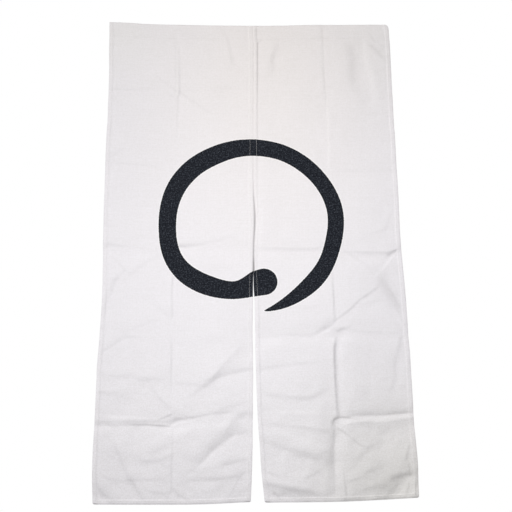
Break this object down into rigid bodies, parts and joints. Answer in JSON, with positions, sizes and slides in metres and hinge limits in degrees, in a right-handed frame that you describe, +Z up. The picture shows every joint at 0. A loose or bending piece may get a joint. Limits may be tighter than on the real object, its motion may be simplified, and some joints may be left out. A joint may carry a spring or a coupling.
{
  "type": "noren curtain",
  "caption": "Split doorway curtain of hemmed cotton panels seamed together near the top, with a folded rod pocket along the top edge and an open slit below.",
  "frame": {"origin": "middle of the top edge, on the crest of the rod pocket's fold", "axes": "+Z up along the hanging cloth, +X across it to the right as seen from the front, the front faces -Y"},
  "size_m": [0.9404, 0.0298, 1.5099],
  "materials": {
    "cotton": "matt off-white plain-woven cotton canvas"
  },
  "bodies": {
    "root": {"left_panel": "cotton", "right_panel": "cotton"}
  },
  "joints": []
}
